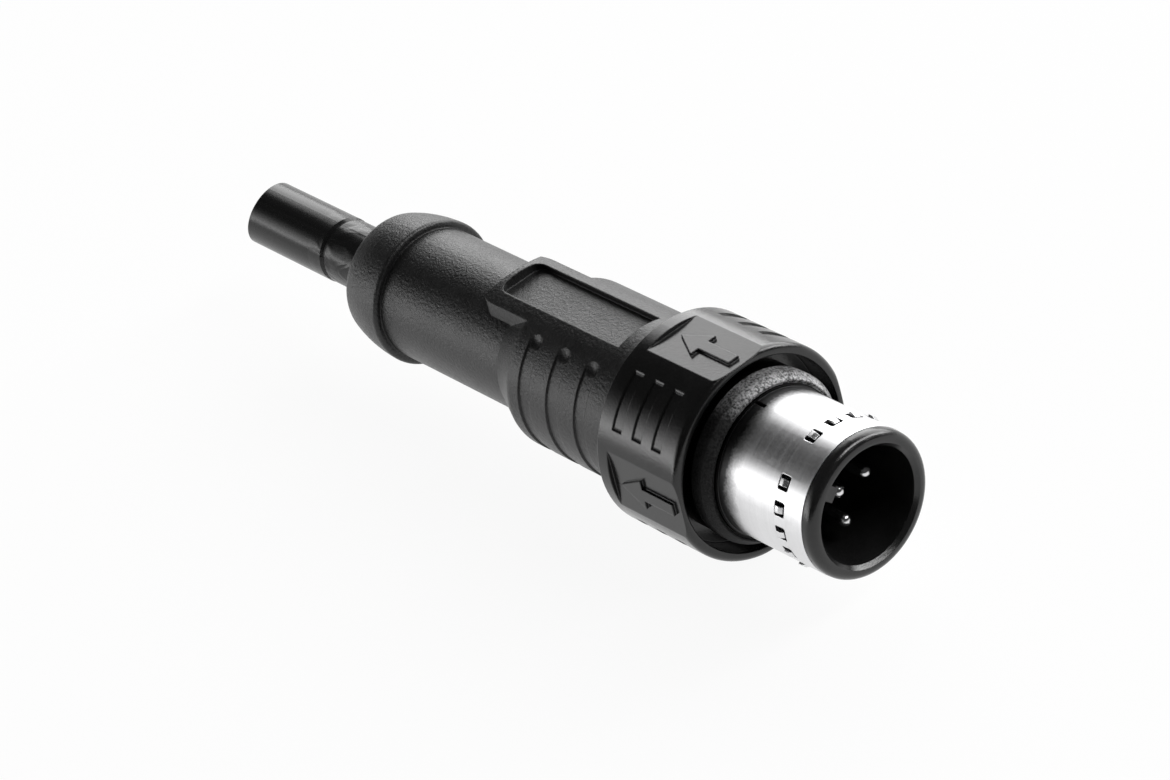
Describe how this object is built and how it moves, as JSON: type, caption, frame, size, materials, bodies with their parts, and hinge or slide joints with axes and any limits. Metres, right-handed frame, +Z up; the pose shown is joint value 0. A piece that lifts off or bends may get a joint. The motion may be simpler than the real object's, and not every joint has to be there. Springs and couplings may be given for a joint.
{
  "type": "circular connector",
  "caption": "Round cable plug with coded pin insert, push-pull latching metal sleeve, face seal, release ring with arrows, moulded grip with a bare label panel, and a cut cable stub.",
  "frame": {"origin": "on the plug's axis at the mating plane, where the face seal's front edge meets the socket", "axes": "+X along the plug's axis towards the pin tips, +Z up through the label panel, +Y completes it"},
  "size_m": [0.0684, 0.0158, 0.0159],
  "materials": {
    "carrier_black": "satin black moulding with fine grain",
    "contact_plate": "bright plated turned pin",
    "bright_plate": "bright nickel plate with fine turning lines",
    "latch_steel": "stamped spring steel",
    "seal_rubber": "grainy soft seal",
    "ring_black": "satin black moulding",
    "spring_steel": "drawn spring wire",
    "turned_steel": "turned steel, blackened",
    "overmould_black": "satin black moulding with eroded grain",
    "inner_grey": "plain grey moulding",
    "jacket_black": "smooth extruded cable jacket",
    "wire_brown": "smooth wire insulation",
    "wire_white": "smooth wire insulation",
    "wire_blue": "smooth wire insulation",
    "wire_black": "smooth wire insulation",
    "wire_grey": "smooth wire insulation",
    "copper_strand": "bare copper strand"
  },
  "bodies": {
    "plug_body": {"contact_carrier": "carrier_black", "pin_1": "contact_plate", "pin_2": "contact_plate", "pin_3": "contact_plate", "pin_4": "contact_plate", "pin_5": "contact_plate", "locking_sleeve": "bright_plate", "face_seal": "seal_rubber", "return_spring": "spring_steel", "stop_collar": "turned_steel", "overmould": "overmould_black", "inner_mould": "inner_grey", "cable_jacket": "jacket_black", "wire_brown": "wire_brown", "wire_white": "wire_white", "wire_blue": "wire_blue", "wire_black": "wire_black", "wire_grey": "wire_grey", "conductor_1": "copper_strand", "conductor_2": "copper_strand", "conductor_3": "copper_strand", "conductor_4": "copper_strand", "conductor_5": "copper_strand"},
    "release_ring": {"release_ring": "ring_black"},
    "latch_1": {"latch_segment_1": "latch_steel"},
    "latch_2": {"latch_segment_2": "latch_steel"},
    "latch_3": {"latch_segment_3": "latch_steel"}
  },
  "joints": [
    {"name": "ring_pull", "type": "slide", "parent": "plug_body", "child": "release_ring", "axis": [-1, 0, 0], "range_m": [0, 0.0014], "stiffness_N_per_m": 1000, "springref_m": -0.001, "deforming": ["return_spring"]},
    {"name": "latch_1_in", "type": "slide", "parent": "plug_body", "child": "latch_1", "axis": [0, 1, 0], "range_m": [0, 0.00025]},
    {"name": "latch_2_in", "type": "slide", "parent": "plug_body", "child": "latch_2", "axis": [0, -0.5, -0.866], "range_m": [0, 0.00025]},
    {"name": "latch_3_in", "type": "slide", "parent": "plug_body", "child": "latch_3", "axis": [0, -0.5, 0.866], "range_m": [0, 0.00025]}
  ],
  "couplings": [
    {"joint": "latch_1_in", "follows": "ring_pull", "ratio": 0.1785},
    {"joint": "latch_2_in", "follows": "ring_pull", "ratio": 0.1785},
    {"joint": "latch_3_in", "follows": "ring_pull", "ratio": 0.1785}
  ]
}
